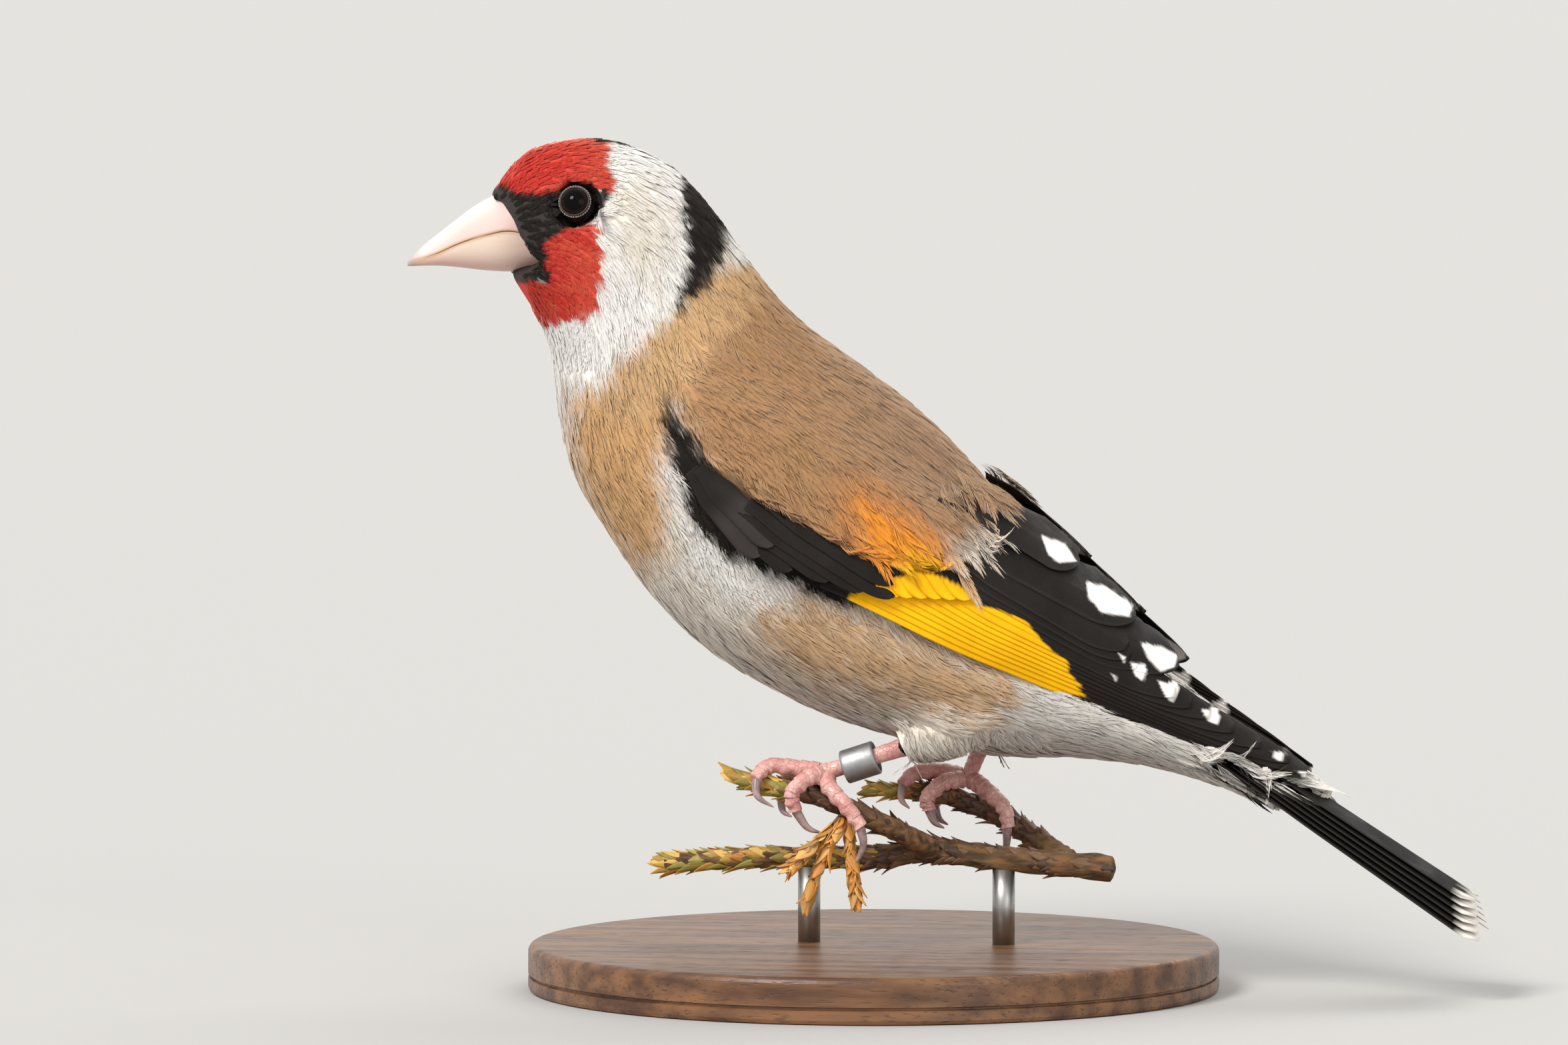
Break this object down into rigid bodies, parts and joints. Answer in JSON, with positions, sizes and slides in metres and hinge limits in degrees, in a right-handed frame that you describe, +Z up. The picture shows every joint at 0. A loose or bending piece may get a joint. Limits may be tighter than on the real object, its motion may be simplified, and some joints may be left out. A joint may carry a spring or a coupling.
{
  "type": "european goldfinch model",
  "caption": "Life-size european goldfinch perched on a cut conifer twig, with folded wings, a plain leg ring and a round display stand.",
  "frame": {"origin": "centre of the underside of the stand's round base, where it rests on a level surface", "axes": "+Z is up, the bird faces -X with its tail towards +X, and its left side faces -Y"},
  "size_m": [0.1157, 0.074, 0.0914],
  "materials": {
    "face_feathers": "short soft feathers, crimson round the bill, with white cheeks and black bands",
    "body_feathers": "soft matte feathers, buff brown above and cream white below",
    "flight_feathers": "smooth black vanes with a golden yellow wing bar and white tips",
    "bill_horn": "smooth pinkish ivory horn with a darker tip",
    "eye_gloss": "wet dark brown globe with a pale beaded lid ring",
    "leg_skin": "flesh pink scaled skin with dusky claws",
    "ring_metal": "dull plain metal, lightly worn",
    "perch_bark": "brown bark with ochre and olive scale leaves",
    "base_wood": "dark satin turned wood",
    "rod_metal": "fine brushed steel"
  },
  "bodies": {
    "root": {"head": "face_feathers", "neck": "body_feathers", "torso": "body_feathers", "rump": "body_feathers", "tail": "flight_feathers", "bill_upper": "bill_horn", "bill_lower": "bill_horn", "eye_left": "eye_gloss", "eye_right": "eye_gloss", "wing_left": "flight_feathers", "wing_right": "flight_feathers", "shoulder_left": "body_feathers", "shoulder_right": "body_feathers", "thigh_left": "body_feathers", "thigh_right": "body_feathers", "tarsus_left": "leg_skin", "tarsus_right": "leg_skin", "foot_left": "leg_skin", "foot_right": "leg_skin", "leg_ring": "ring_metal", "perch_branch": "perch_bark", "stand_base": "base_wood", "stand_rod_front": "rod_metal", "stand_rod_rear": "rod_metal"}
  },
  "joints": []
}
